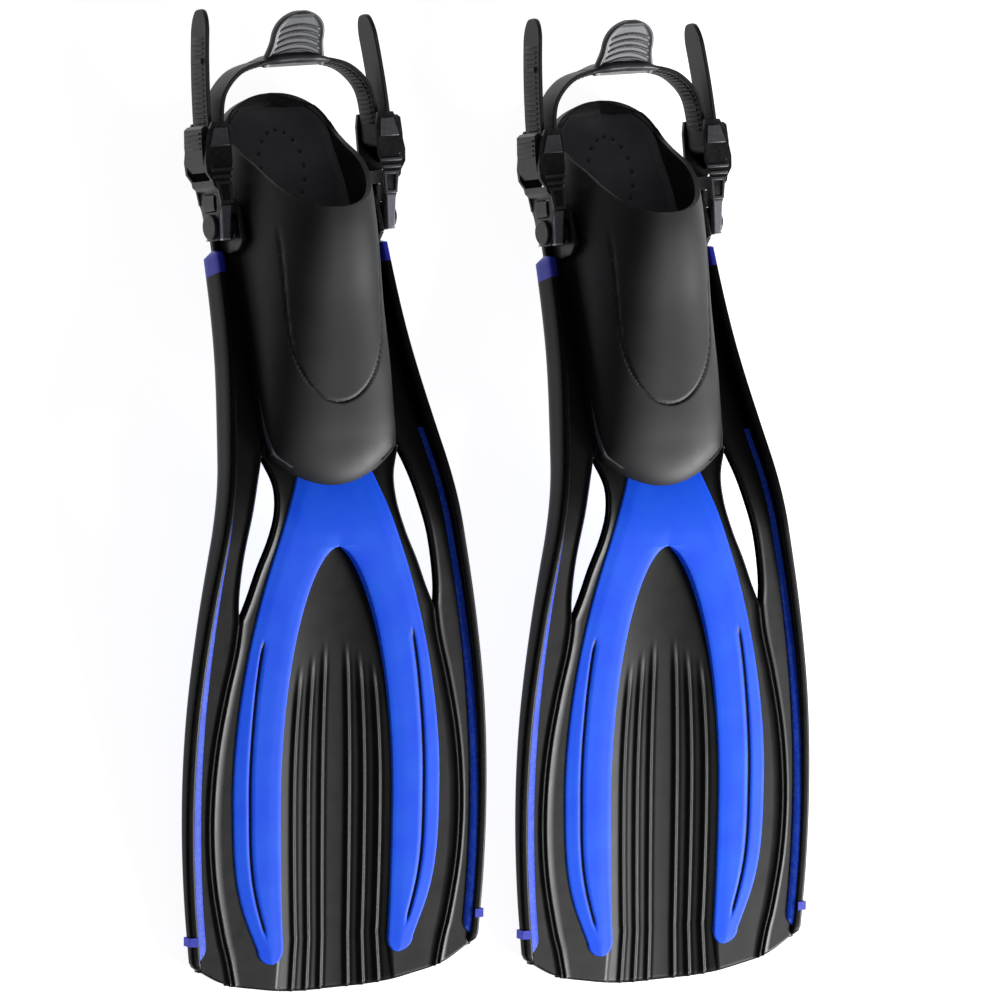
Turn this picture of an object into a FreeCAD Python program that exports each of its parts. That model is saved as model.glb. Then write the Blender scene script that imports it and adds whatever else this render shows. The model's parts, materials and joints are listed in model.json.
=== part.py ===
"""A pair of open-heel swim fins lying on their soles, as a parametric FreeCAD document.

Row frame: X across the pair, Y from the blade tips to the heels, Z up, floor at Z = 0.
Each fin is drawn in three frames of its own:
  blade frame  the flat top of the blade, y from the tip towards the foot
  foot frame   the footbed plane, tilted down from the blade by the bend at the toes
  strap frame  level, with its origin on the axis of the two strap posts
"""
import FreeCAD, Part
import Sketcher
import math
import os
from FreeCAD import Placement, Rotation, Vector

os.makedirs("parts", exist_ok=True)
doc = FreeCAD.newDocument("swim_fins")

DIMENSIONS = {
    # whole fin
    "fin_spacing": 255.0,        # between the two fins' middle lines
    "pair_stagger": 18.0,        # the right fin lies this much further towards the tips
    "pair_shift": -306.865,      # puts the middle of the pair's length on the origin
    "blade_pitch": 9.3,          # the blade rises towards the toes by this many degrees
    "bend_angle": 20.24,         # between the blade and the footbed
    "bend_start": 281.0,
    "bend_radius": 156.0,
    "toe_along": 318.2,
    "toe_above": 1.7,
    # blade
    "blade_thickness": 4.5,
    "panel_proud": 0.8,
    "plate_end": 190.0,
    "channel_radius": 254.0,
    "channel_sag": 3.5,
    "channel_thickness": 2.5,
    "tip_overhang": 16.0,
    "rail_width": 6.6,
    "rail_end": 161.7,           # from the toe, along the footbed
    "inlay_width": 5.6,
    "inlay_proud": 1.0,
    # foot pocket
    "sole_level": -9.332,
    "footbed_level": -1.0,
    "pocket_wall": 3.6,
    "heel_end": 264.0,
    "tread_thickness": 2.968,
    "tread_start": 78.0,
    # strap posts
    "post_along": 174.727,
    "post_above": 8.847,
    "post_offset": 62.9,
    "post_radius": 6.0,
    "post_head_radius": 8.2,
    # buckle
    "buckle_half_width": 14.0,
    "cheek_gap": 22.8,
    "base_thickness": 8.0,
    "eye_radius": 6.05,
    "lever_bore_radius": 1.55,
    "lever_width": 22.4,
    "roller_radius": 2.4,
    "roller_out": 0.6,
    "roller_along": 51.0,
    "pin_radius": 1.5,
    "pin_out": 9.3,
    "pin_along": 39.0,
    "button_width": 13.2,
    # strap
    "strap_width": 20.0,
    "strap_thickness": 3.0,
    "pad_width": 26.0,
    "pad_half_length": 27.0,
}


def make_sheet():
    sheet = doc.addObject("Spreadsheet::Sheet", "Dimensions")
    for row, (alias, number) in enumerate(DIMENSIONS.items(), start=1):
        sheet.set(f"A{row}", alias)
        sheet.set(f"B{row}", str(number))
        sheet.setAlias(f"B{row}", alias)
    doc.recompute()
    return sheet


sheet = make_sheet()
size = {alias: float(sheet.get(alias)) for alias in DIMENSIONS}
nodes = {}

# ---------------------------------------------------------------- frames

BEND = math.radians(size["bend_angle"])
PITCH = math.radians(size["blade_pitch"])
FOOT_PITCH = size["bend_angle"] - size["blade_pitch"]
PLATE_DEPTH = size["channel_sag"] + size["channel_thickness"]
TIP_DROP = size["tip_overhang"] * math.sin(PITCH) + PLATE_DEPTH * math.cos(PITCH)
X_AXIS = Vector(1, 0, 0)
Z_AXIS = Vector(0, 0, 1)
REACH = 400.0                   # half length of cutting solids, more than any fin


def blade_frame(spot):
    tip = spot + Vector(0, size["pair_shift"], TIP_DROP)
    return Placement(tip, Rotation(X_AXIS, size["blade_pitch"]))


def foot_frame(spot):
    toe = Placement(Vector(0, size["toe_along"], size["toe_above"]), Rotation(X_AXIS, -size["bend_angle"]))
    return blade_frame(spot).multiply(toe)


def strap_frame(spot):
    pivot = foot_frame(spot).multVec(Vector(0, size["post_along"], size["post_above"]))
    return Placement(pivot, Rotation())


def buckle_frame_at(spot, side):
    """x points away from the fin on either side; every buckle piece is symmetric in z."""
    turn = Rotation(Vector(0, 1, 0), 0 if side > 0 else 180)
    outward = Placement(Vector(side * size["post_offset"], 0, 0), turn)
    return strap_frame(spot).multiply(outward)


# ---------------------------------------------------------------- helpers

def keep(name, shape, place):
    """A node whose free-form shape is worked out by functions."""
    feature = doc.addObject("Part::Feature", name)
    feature.Label = name
    feature.Shape = shape
    feature.Placement = place
    nodes[name] = feature
    return feature


def curve(points):
    spline = Part.BSplineCurve()
    spline.interpolate(points)
    return spline.toShape()


def plan_prism(edges, low=-REACH, high=REACH):
    """A vertical prism over a closed outline drawn in the blade plane."""
    face = Part.Face(Part.Wire(Part.__sortEdges__(edges)))
    face.translate(Vector(0, 0, low))
    return face.extrude(Vector(0, 0, high - low))


def flip(points):
    return [Vector(-p.x, p.y, p.z) for p in reversed(points)]


def plan(points):
    return [Vector(x, y, 0) for x, y in points]


def on_blade(run, height):
    """Side-view point at a run along the blade's top surface and a height above it."""
    start = size["bend_start"]
    radius = size["bend_radius"]
    turned = min(max((run - start) / radius, 0.0), BEND)
    straight = max(run - start - radius * BEND, 0.0)
    if run <= start:
        return Vector(0, run, height)
    along = start + (radius + height) * math.sin(turned) + straight * math.cos(BEND)
    above = -radius + (radius + height) * math.cos(turned) - straight * math.sin(BEND)
    return Vector(0, along, above)


def run_at(foot_distance):
    """Run along the blade's top surface below a distance from the toe along the footbed."""
    bend_end = on_blade(size["bend_start"] + size["bend_radius"] * BEND, 0)
    dy = bend_end.y - size["toe_along"]
    dz = bend_end.z - size["toe_above"]
    reached = dy * math.cos(BEND) - dz * math.sin(BEND)
    return size["bend_start"] + size["bend_radius"] * BEND + foot_distance - reached


def layer(top, bottom, first=-60.0, last=None):
    """The full-width slab between two heights over the bent blade surface."""
    last = run_at(size["plate_end"]) if last is None else last
    start = size["bend_start"]
    end = start + size["bend_radius"] * BEND
    middle = (start + end) / 2
    rim = []
    for height in (top, bottom):
        rim.append(Part.LineSegment(on_blade(first, height), on_blade(start, height)).toShape())
        rim.append(Part.Arc(on_blade(start, height), on_blade(middle, height), on_blade(end, height)).toShape())
        rim.append(Part.LineSegment(on_blade(end, height), on_blade(last, height)).toShape())
    for run in (first, last):
        rim.append(Part.LineSegment(on_blade(run, top), on_blade(run, bottom)).toShape())
    face = Part.Face(Part.Wire(Part.__sortEdges__(rim)))
    face.translate(Vector(-REACH, 0, 0))
    return face.extrude(Vector(2 * REACH, 0, 0))


def one_solid(shape):
    return max(shape.Solids, key=lambda solid: solid.Volume)


# ---------------------------------------------------------------- outlines in the blade plane

RAIL_OUTER_EDGE = plan([
    (110.5, 14), (113.6, 50), (115.4, 105), (112.5, 168), (104, 230),
    (92, 290), (79.5, 348), (70, 405), (66, 461), (65.4, 477),
])
TIP_EDGE = plan([(-102, 4), (-88, -4), (-58, -11.5), (-26, -15.6), (0, -16), (26, -15.6), (58, -11.5), (88, -4),
                 (102, 4)])
STRIPE_OUTER_EDGE = plan([(27, 330), (40.5, 297), (59.5, 244), (73, 187), (79.5, 110), (72, 43), (60, 14)])
STRIPE_INNER_EDGE = plan([(40, 14), (40.5, 50), (42.5, 110), (38, 178), (30, 223), (18, 258), (0, 277)])
STRIPE_END = plan([(40, 14), (48, 4.5), (60, 14)])
WINDOW_OUTER_EDGE = plan([(52, 338), (64, 301), (72, 275), (74.5, 233)])
WINDOW_INNER_EDGE = plan([(74.5, 233), (60, 268), (46.5, 302), (45.5, 322), (52, 338)])


def shifted(points, inward):
    return [Vector(p.x - inward, p.y, p.z) for p in points]


def rail_plan(side):
    outer = RAIL_OUTER_EDGE
    inner = shifted(RAIL_OUTER_EDGE, size["rail_width"])
    nose = [outer[0], Vector(108.8, 7.5, 0), Vector(105, 7.5, 0), inner[0]]
    if side < 0:
        outer, inner, nose = flip(outer), flip(inner), flip(nose)
    rear_outer = max(outer, key=lambda p: p.y)
    rear_inner = max(inner, key=lambda p: p.y)
    edges = [curve(outer), curve(inner), curve(nose), Part.LineSegment(rear_outer, rear_inner).toShape()]
    return plan_prism(edges)


def plate_plan():
    """Everything between the two rails, from the tip to under the heel."""
    right = shifted(RAIL_OUTER_EDGE, size["rail_width"])
    left = flip(right)
    rear = [right[-1], Vector(57, 486, 0), Vector(50, 495, 0), Vector(30, 499, 0), Vector(0, 500, 0)]
    rear = rear + flip(rear)[1:]
    nose = Part.LineSegment(TIP_EDGE[-1], right[0]).toShape()
    other_nose = Part.LineSegment(TIP_EDGE[0], left[-1]).toShape()
    edges = [curve(right), curve(left), curve(rear), curve(TIP_EDGE), nose, other_nose]
    return plan_prism(edges)


def wishbone_plan():
    yoke = plan([(27, 330), (0, 332), (-27, 330)])
    edges = [curve(yoke)]
    edges += [curve(STRIPE_OUTER_EDGE), curve(flip(STRIPE_OUTER_EDGE))]
    edges += [curve(STRIPE_INNER_EDGE), curve(flip(STRIPE_INNER_EDGE))]
    edges += [curve(STRIPE_END), curve(flip(STRIPE_END))]
    return plan_prism(edges)


def channel_plan():
    tip_right = plan([(40, 14), (43, -13.6)])
    tip_middle = plan([(43, -13.6), (26, -15.6), (0, -16), (-26, -15.6), (-43, -13.6)])
    edges = [curve(STRIPE_INNER_EDGE), curve(flip(STRIPE_INNER_EDGE))]
    edges += [curve(tip_right), curve(flip(tip_right)), curve(tip_middle)]
    return plan_prism(edges)


def window_plan(side):
    outer = WINDOW_OUTER_EDGE if side > 0 else flip(WINDOW_OUTER_EDGE)
    inner = WINDOW_INNER_EDGE if side > 0 else flip(WINDOW_INNER_EDGE)
    return plan_prism([curve(outer), curve(inner)])


def inlay_plan(side):
    """The coloured strip that lies against the inner wall of a rail, as far as the pocket."""
    wall = shifted(RAIL_OUTER_EDGE, size["rail_width"])
    free = shifted(wall, size["inlay_width"])
    if side < 0:
        wall, free = flip(wall), flip(free)
    ends = [Part.LineSegment(wall[0], free[0]).toShape(), Part.LineSegment(wall[-1], free[-1]).toShape()]
    whole = plan_prism([curve(wall), curve(free)] + ends)
    return whole.common(Part.makeBox(2 * REACH, 325.0, 2 * REACH, Vector(-REACH, 22.0, -REACH)))


BAND_REACH = (106.4, 113.0)     # the clip round the rail's tip, from inside it to just outside


# ---------------------------------------------------------------- blade pieces

def rail_shape(side):
    """Plan outline and side profile of the rail, each a prism, meet in its tapered beam."""
    rear = run_at(size["rail_end"])
    top = [(4, 2.2), (110, 2.8), (230, 5.5), (300, 8), (350, 9.5), (rear, 12)]
    bottom = [(4, -3.6), (110, -5.2), (230, -7), (300, -9), (350, -10), (rear, -8)]
    top_points = [on_blade(run, height) for run, height in top]
    bottom_points = [on_blade(run, height) for run, height in bottom]
    edges = [curve(top_points), curve(bottom_points)]
    edges.append(Part.LineSegment(top_points[0], bottom_points[0]).toShape())
    edges.append(Part.LineSegment(top_points[-1], bottom_points[-1]).toShape())
    face = Part.Face(Part.Wire(Part.__sortEdges__(edges)))
    face.translate(Vector(-REACH, 0, 0))
    profile = face.extrude(Vector(2 * REACH, 0, 0))
    return one_solid(profile.common(rail_plan(side)))


def channel_shape():
    """A shallow trough: a thin cylindrical shell inside the channel's outline."""
    radius = size["channel_radius"]
    centre = Vector(0, -REACH, radius - size["channel_sag"])
    along = Vector(0, 1, 0)
    outer = Part.makeCylinder(radius + size["channel_thickness"], 2 * REACH, centre, along)
    inner = Part.makeCylinder(radius, 2 * REACH, centre, along)
    return one_solid(outer.cut(inner).common(channel_plan()).common(layer(1.0, -20.0)))


def blade_pieces():
    """Shapes of the blade's pieces in the blade frame; they meet face to face."""
    thickness = size["blade_thickness"]
    proud = size["panel_proud"]
    shapes = {}
    wishbone = one_solid(layer(proud, -thickness).common(wishbone_plan()))
    plate = layer(0.0, -thickness).common(plate_plan())
    plate = plate.cut(wishbone_plan()).cut(channel_plan())
    for side, word in ((1, "outer"), (-1, "inner")):
        plate = plate.cut(window_plan(side))
        rail = rail_shape(side)
        inlay = one_solid(layer(size["inlay_proud"], -size["inlay_proud"]).common(inlay_plan(side)))
        plate = plate.cut(inlay)
        shapes["rail_" + word] = rail
        shapes["rail_inlay_" + word] = inlay
    shapes["wishbone_panel"] = wishbone
    shapes["channel_panel"] = channel_shape()
    shapes["blade_plate"] = plate
    for side, word in ((1, "outer"), (-1, "inner")):
        near, far = BAND_REACH
        ring = Part.makeBox(far - near, 6.0, 7.8, Vector(near if side > 0 else -far, 22.0, -4.6))
        shapes["rail_band_" + word] = one_solid(ring.cut(shapes["rail_" + word]))
    return shapes


# ---------------------------------------------------------------- foot pocket

# distance from the toe: half width, height of the instep, both outside
POCKET_SECTIONS = [
    (-1.0, 16.0, 0.0), (6.0, 36.0, 5.0), (20.0, 49.0, 11.0), (60.0, 50.5, 23.5), (110.0, 49.5, 40.0),
    (165.0, 49.5, 60.0), (215.0, 47.0, 66.0), (248.0, 38.0, 66.0), (264.0, 24.0, 66.0),
]


# side view of the mouth's rim, from above the instep to behind the heel
MOUTH_EDGE = [
    (160, 90), (166, 66), (180, 55), (195, 43.5), (210, 31), (222, 17), (234, 5), (250, 1.5), (300, 0.5),
]


def arch_section(along, half_width, base, crown):
    """Flat below, upright sides that lean in, and a round crown."""
    rise = crown - base
    right = [(half_width, 0.0), (half_width * 1.01, 0.3), (half_width * 0.93, 0.62), (half_width * 0.66, 0.88)]
    points = [Vector(x, along, base + rise * share) for x, share in right]
    points.append(Vector(0, along, crown))
    points += flip(points[:-1])
    arch = curve(points)
    floor = Part.LineSegment(points[0], points[-1]).toShape()
    return Part.Wire([arch, floor])


def pocket_shape(under):
    """The rubber shell with its toe room, slanted mouth and open heel, in the foot frame."""
    wall = size["pocket_wall"]
    base = size["sole_level"]
    footbed = size["footbed_level"]
    outside = Part.makeLoft([arch_section(f, w, base, n) for f, w, n in POCKET_SECTIONS], True)
    room = [(24.0, 40.0, 9.0)]
    room += [(f, w - wall, n - wall) for f, w, n in POCKET_SECTIONS if 24.0 < f < 260.0]
    room.append((size["heel_end"] + 16.0, 14.0, 62.0))
    cavity = Part.makeLoft([arch_section(f, w, footbed, n) for f, w, n in room], True)
    mouth_edge = curve([Vector(0, along, above) for along, above in MOUTH_EDGE])
    lid = [mouth_edge, Part.LineSegment(Vector(0, 300, 0.5), Vector(0, 300, 90)).toShape(),
           Part.LineSegment(Vector(0, 300, 90), Vector(0, 160, 90)).toShape()]
    mouth = Part.Face(Part.Wire(Part.__sortEdges__(lid)))
    mouth.translate(Vector(-REACH, 0, 0))
    mouth = mouth.extrude(Vector(2 * REACH, 0, 0))
    shell = outside.cut(cavity).cut(mouth)
    for shape in under:
        shell = shell.cut(shape)
    return one_solid(shell)


# cross grooves under the sole
GROOVE_COUNT = 9
GROOVE_START = 12.0
GROOVE_PITCH = 18.0
GROOVE_LENGTH = 60.0
GROOVE_WIDTH = 3.0
GROOVE_DEPTH = 1.2


def tread_shape():
    """A thin ribbed pad under the sole, with a rounded heel, in the foot frame."""
    top = size["sole_level"]
    start = size["tread_start"]
    end = size["heel_end"] - 4.0
    outline = plan([(40, start), (41, 150), (40, 215), (30, 248), (0, end)])
    outline = outline + flip(outline)[1:]
    edges = [curve(outline), Part.LineSegment(outline[-1], outline[0]).toShape()]
    pad = plan_prism(edges, top - size["tread_thickness"], top)
    for number in range(GROOVE_COUNT):
        corner = Vector(-GROOVE_LENGTH / 2, start + GROOVE_START + GROOVE_PITCH * number,
                        top - size["tread_thickness"])
        pad = pad.cut(Part.makeBox(GROOVE_LENGTH, GROOVE_WIDTH, GROOVE_DEPTH, corner))
    return one_solid(pad)


# ---------------------------------------------------------------- sketch-based pieces

def add_body(name, place):
    body = doc.addObject("PartDesign::Body", name)
    body.Label = name
    body.Placement = place
    nodes[name] = body
    return body


def add_sketch(body, name, role, outline, holes=()):
    """A closed polygon, with optional round or rectangular holes, on an origin plane."""
    sketch = body.newObject("Sketcher::SketchObject", name)
    plane = [feature for feature in body.Origin.OriginFeatures if feature.Role == role][0]
    sketch.AttachmentSupport = [(plane, "")]
    sketch.MapMode = "FlatFace"
    loops = ([outline] if outline else []) + [hole for hole in holes if len(hole) > 3]
    for loop in loops:
        corners = [Vector(x, y, 0) for x, y in loop]
        sides = [Part.LineSegment(a, b) for a, b in zip(corners, corners[1:] + corners[:1])]
        sketch.addGeometry(sides, False)
    for centre_x, centre_y, alias in [hole for hole in holes if len(hole) == 3]:
        sketch.addGeometry(Part.Circle(Vector(centre_x, centre_y, 0), Z_AXIS, size[alias]), False)
        number = sketch.addConstraint(sketch_radius(sketch))
        sketch.setExpression(f"Constraints[{number}]", f"Dimensions.{alias}")
    return sketch


def sketch_radius(sketch):
    last = sketch.GeometryCount - 1
    return Sketcher.Constraint("Radius", last, sketch.Geometry[last].Radius)


def add_pad(body, sketch, name, length):
    pad = body.newObject("PartDesign::Pad", name)
    pad.Profile = sketch
    pad.Midplane = True
    pad.setExpression("Length", length)
    return pad


def add_pocket(body, sketch, name, length):
    pocket = body.newObject("PartDesign::Pocket", name)
    pocket.Profile = sketch
    pocket.Midplane = True
    pocket.setExpression("Length", length)
    return pocket


def buckle_frame(name, place):
    """Swivel base with an eye for the post, a button window and two cheeks for the strap."""
    body = add_body(name, place)
    base = [(-9, -6.5), (-9, 6.5), (6, 9.5), (14, 14), (31, 14), (31, -14), (14, -14), (6, -9.5)]
    window = [(9.5, -7), (9.5, 7), (21.5, 7), (21.5, -7)]
    plate = add_sketch(body, name + "_base_sketch", "YZ_Plane", base, [window, (0, 0, "eye_radius")])
    add_pad(body, plate, name + "_base", "Dimensions.base_thickness")
    cheek = [(-4, 22), (4, 22), (8.5, 26.5), (9, 29.5), (12.8, 35), (13.4, 43), (10.5, 60), (6, 68), (-5.5, 68),
             (-7, 60), (-7, 41), (-4, 31)]
    cheeks = add_sketch(body, name + "_cheek_sketch", "XY_Plane", cheek)
    add_pad(body, cheeks, name + "_cheeks", "2 * Dimensions.buckle_half_width")
    throat = add_sketch(body, name + "_throat_sketch", "XY_Plane", [(-20, 30), (30, 30), (30, 80), (-20, 80)])
    add_pocket(body, throat, name + "_throat", "Dimensions.cheek_gap")
    bore = add_sketch(body, name + "_bore_sketch", "XY_Plane", [],
                      [(size["pin_out"], size["pin_along"], "pin_radius")])
    add_pocket(body, bore, name + "_pin_bore", "4 * Dimensions.buckle_half_width")
    return body


def buckle_lever(name, place):
    """The thumb lever that pinches the strap's tail; it turns on the lever pin."""
    body = add_body(name, place)
    profile = [(6.9, 35.5), (11, 35.5), (13.6, 41), (14.0, 53), (13.2, 64), (10.5, 66), (8.2, 64), (6.9, 55)]
    sketch = add_sketch(body, name + "_sketch", "XY_Plane", profile,
                        [(size["pin_out"], size["pin_along"], "lever_bore_radius")])
    add_pad(body, sketch, name + "_block", "Dimensions.lever_width")
    return body


def release_button(name, place):
    """The tongue in the window of the buckle's base."""
    body = add_body(name, place)
    profile = [(-1.0, 9.9), (4.4, 9.9), (5.4, 12), (5.4, 19), (4.4, 21.1), (-1.0, 21.1)]
    sketch = add_sketch(body, name + "_sketch", "XY_Plane", profile)
    add_pad(body, sketch, name + "_block", "Dimensions.button_width")
    return body


# side bracket (backwards, up) and its post: where each step ends on the way out and its radius
BRACKET = [(-13, -13.6), (11, -13.6), (18, -6), (18, 6), (11, 13.6), (-13, 13.6), (-18, 6), (-18, -6)]
BRACKET_THICKNESS = 3.6
BRACKET_FACE = -8.4
POST_STEPS = [(-4.4, 9.0, "boss"), (4.2, size["post_radius"], "shaft"), (6.8, size["post_head_radius"], "head")]


def strap_post(name, place):
    """Side bracket of the pocket with the round post that the buckle swivels on."""
    body = add_body(name, place)
    wing = add_sketch(body, name + "_bracket_sketch", "YZ_Plane", BRACKET)
    add_pad(body, wing, name + "_bracket", f"{BRACKET_THICKNESS} mm")
    wing.AttachmentOffset = Placement(Vector(0, 0, BRACKET_FACE - BRACKET_THICKNESS / 2), Rotation())
    start = BRACKET_FACE
    for end, radius, word in POST_STEPS:
        disc = body.newObject("Sketcher::SketchObject", f"{name}_{word}_sketch")
        plane = [feature for feature in body.Origin.OriginFeatures if feature.Role == "YZ_Plane"][0]
        disc.AttachmentSupport = [(plane, "")]
        disc.MapMode = "FlatFace"
        disc.AttachmentOffset = Placement(Vector(0, 0, (start + end) / 2), Rotation())
        disc.addGeometry(Part.Circle(Vector(0, 0, 0), Z_AXIS, radius), False)
        add_pad(body, disc, f"{name}_{word}", f"{end - start} mm")
        start = end
    return body


def cylinder(name, alias, length, out, along, place):
    rod = doc.addObject("Part::Cylinder", name)
    rod.Label = name
    rod.setExpression("Radius", f"Dimensions.{alias}")
    rod.setExpression("Height", length)
    doc.recompute()
    half = rod.Height.Value / 2
    rod.Placement = place.multiply(Placement(Vector(out, along, -half), Rotation()))
    nodes[name] = rod
    return rod


# ---------------------------------------------------------------- strap

def ribbon(points, outside, inside, low, high):
    """A band that follows a smooth line, between two distances from it."""
    spline = Part.BSplineCurve()
    spline.interpolate(points)
    first, last = spline.FirstParameter, spline.LastParameter
    steps = 8 * (len(points) - 1)
    sides = []
    for offset in (outside, -inside):
        side = []
        for step in range(steps + 1):
            along = first + (last - first) * step / steps
            tangent = spline.tangent(along)[0]
            side.append(spline.value(along) + Vector(tangent.y, -tangent.x, 0).multiply(offset))
        sides.append(side)
    edges = [curve(sides[0]), curve(sides[1])]
    edges.append(Part.LineSegment(sides[0][0], sides[1][0]).toShape())
    edges.append(Part.LineSegment(sides[0][-1], sides[1][-1]).toShape())
    return plan_prism(edges, low, high)


# strap frame, from the inside run at the outer buckle round the heel to the inside run at the inner one
LOOP_HALF = [(59.45, 51), (59.0, 67), (55.0, 86), (43.0, 98.5), (22.0, 105), (0.0, 106.5)]
STRAP_SLACK = 0.15
# free ends, one pulled through a little further than the other
TAILS = {
    1: plan([(67.55, 51), (68.0, 63), (67.0, 82), (64.6, 106), (61.0, 133)]),
    -1: plan([(-67.55, 51), (-68.2, 63), (-67.8, 85), (-66.2, 111), (-63.0, 142)]),
}


def loop_line():
    right = plan(LOOP_HALF)
    return right + flip(right[:-1])


def strap_shape():
    """The loop round the heel, the turns round both rollers and the two free tails."""
    half = size["strap_thickness"] / 2
    width = size["strap_width"] / 2
    turn_x = size["post_offset"] + size["roller_out"]
    band = ribbon(loop_line(), half, half, -width, width)
    mid_radius = size["roller_radius"] + half + STRAP_SLACK
    for side, line in TAILS.items():
        tail = ribbon(line, half, half, -width, width)
        centre = Vector(side * turn_x, size["roller_along"], -width)
        ring = Part.makeCylinder(mid_radius + half, 2 * width, centre)
        ring = ring.cut(Part.makeCylinder(mid_radius - half, 2 * width, centre))
        below = Part.makeBox(20, 20, 2 * width, centre + Vector(-10, -20, 0))
        band = band.fuse(ring.common(below)).fuse(tail)
    return band.removeSplitter()


PAD_OUTSIDE = 4.2               # surfaces of the pad, from the strap's middle line
PAD_INSIDE = 3.2
TAB_OUTLINE = [(23.6, -6), (22.5, 10), (19.6, 26), (12, 31.5), (0, 32.5)]
TAB_HALF_THICKNESS = 2.2
TAB_PLACE = Placement(Vector(0, 107.5, 8.0), Rotation(X_AXIS, 27))


def heel_pad_shape(strap):
    """The pad round the middle of the strap, with the finger tab that rises behind it."""
    width = size["pad_width"] / 2
    half_length = size["pad_half_length"]
    wrap = ribbon(loop_line(), PAD_OUTSIDE, PAD_INSIDE, -width, width)
    window = Part.makeBox(2 * half_length, 60, 60, Vector(-half_length, 85, -30))
    wrap = wrap.common(window)
    outline = plan(TAB_OUTLINE)
    outline = outline + flip(outline)[1:]
    edges = [curve(outline), Part.LineSegment(outline[-1], outline[0]).toShape()]
    tab = plan_prism(edges, -TAB_HALF_THICKNESS, TAB_HALF_THICKNESS)
    tab.Placement = TAB_PLACE
    pad = wrap.fuse(tab).cut(strap)
    return one_solid(pad.removeSplitter())


# ---------------------------------------------------------------- one fin, twice

def make_fin(word, spot):
    blade = blade_frame(spot)
    foot = foot_frame(spot)
    strap = strap_frame(spot)
    for name, shape in BLADE.items():
        keep(f"{word}_{name}", shape, blade)
    keep(f"{word}_foot_pocket", POCKET, foot)
    keep(f"{word}_sole_tread", TREAD, foot)
    keep(f"{word}_heel_strap", STRAP, strap)
    keep(f"{word}_heel_pad", PAD, strap)
    for side, side_word in ((1, "outer"), (-1, "inner")):
        place = buckle_frame_at(spot, side)
        foot_turn = Placement(Vector(0, 0, 0), Rotation(X_AXIS, -side * FOOT_PITCH))
        strap_post(f"{word}_strap_post_{side_word}", place.multiply(foot_turn))
        buckle_frame(f"{word}_buckle_frame_{side_word}", place)
        buckle_lever(f"{word}_buckle_lever_{side_word}", place)
        release_button(f"{word}_release_button_{side_word}", place)
        cylinder(f"{word}_strap_roller_{side_word}", "roller_radius", "Dimensions.cheek_gap",
                 size["roller_out"], size["roller_along"], place)
        cylinder(f"{word}_lever_pin_{side_word}", "pin_radius", "2 * Dimensions.buckle_half_width",
                 size["pin_out"], size["pin_along"], place)


def into_foot_frame(shape):
    """A blade-frame shape expressed in the foot frame."""
    moved = shape.copy()
    toe = Placement(Vector(0, size["toe_along"], size["toe_above"]), Rotation(X_AXIS, -size["bend_angle"]))
    moved.transformShape(toe.inverse().toMatrix())
    return moved


BLADE = blade_pieces()
POCKET = pocket_shape([into_foot_frame(layer(0.0, -40.0)), into_foot_frame(BLADE["wishbone_panel"])])
TREAD = tread_shape()
STRAP = strap_shape()
PAD = heel_pad_shape(STRAP)

half_step = Vector(size["fin_spacing"] / 2, -size["pair_stagger"] / 2, 0)
make_fin("left", -half_step)
make_fin("right", half_step)
doc.recompute()

for item in doc.Objects:
    failed = {"Invalid", "Error"} & set(item.State)
    if failed:
        raise RuntimeError(f"{item.Label} failed: {failed}")

whole = FreeCAD.BoundBox()
for name, node in nodes.items():
    shape = node.Shape
    if shape.isNull() or not shape.isValid():
        raise RuntimeError(f"{name} has no valid shape")
    whole.add(shape.BoundBox)
    shape.exportStep(f"parts/{name}.step")
    print(name, node.TypeId, "solids", len(shape.Solids), "cm3", round(shape.Volume / 1000, 2))
print("nodes", len(nodes), "box", whole)
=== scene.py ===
"""Looks of a pair of open-heel swim fins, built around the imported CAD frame."""
import json
import math

import bmesh
import bpy
import numpy as np
from mathutils import Matrix, Vector


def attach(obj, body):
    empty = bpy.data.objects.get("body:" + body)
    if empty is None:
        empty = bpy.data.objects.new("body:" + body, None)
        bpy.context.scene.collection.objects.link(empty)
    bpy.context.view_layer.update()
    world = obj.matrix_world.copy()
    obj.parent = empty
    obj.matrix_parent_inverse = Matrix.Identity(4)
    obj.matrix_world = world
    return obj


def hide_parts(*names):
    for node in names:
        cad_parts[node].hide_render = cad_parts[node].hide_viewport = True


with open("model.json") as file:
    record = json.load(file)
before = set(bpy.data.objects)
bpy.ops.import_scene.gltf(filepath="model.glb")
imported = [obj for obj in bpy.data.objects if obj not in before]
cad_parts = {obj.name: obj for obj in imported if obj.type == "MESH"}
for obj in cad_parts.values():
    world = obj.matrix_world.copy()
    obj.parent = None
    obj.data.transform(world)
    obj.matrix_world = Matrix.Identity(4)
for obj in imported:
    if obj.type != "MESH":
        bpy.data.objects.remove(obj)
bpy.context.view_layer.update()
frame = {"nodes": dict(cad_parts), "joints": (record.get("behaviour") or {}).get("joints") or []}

# -------------------- frames, in millimetres

MM = 0.001
BLADE_PITCH = math.radians(9.3)
BEND = math.radians(20.24)
BEND_START = 281.0
BEND_RADIUS = 156.0
TOE_ALONG, TOE_ABOVE = 318.2, 1.7
POST_ALONG, POST_ABOVE = 174.727, 8.847
TIP_OVERHANG = 16.0              # how far the tip's middle reaches past the blade frame's origin
TIP_DEPTH = 6.0                  # lowest point of the tip below the blade frame
TIP_DROP = TIP_OVERHANG * math.sin(BLADE_PITCH) + TIP_DEPTH * math.cos(BLADE_PITCH)
TIP_SHIFT = -306.865
PLATE = 4.5                      # thickness of the blade plate
SOLE_LEVEL = -9.3                # underside of the pocket in the foot frame
RAIL_WIDTH = 6.6


def turn_x(angle):
    return Matrix.Rotation(angle, 4, "X")


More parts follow.
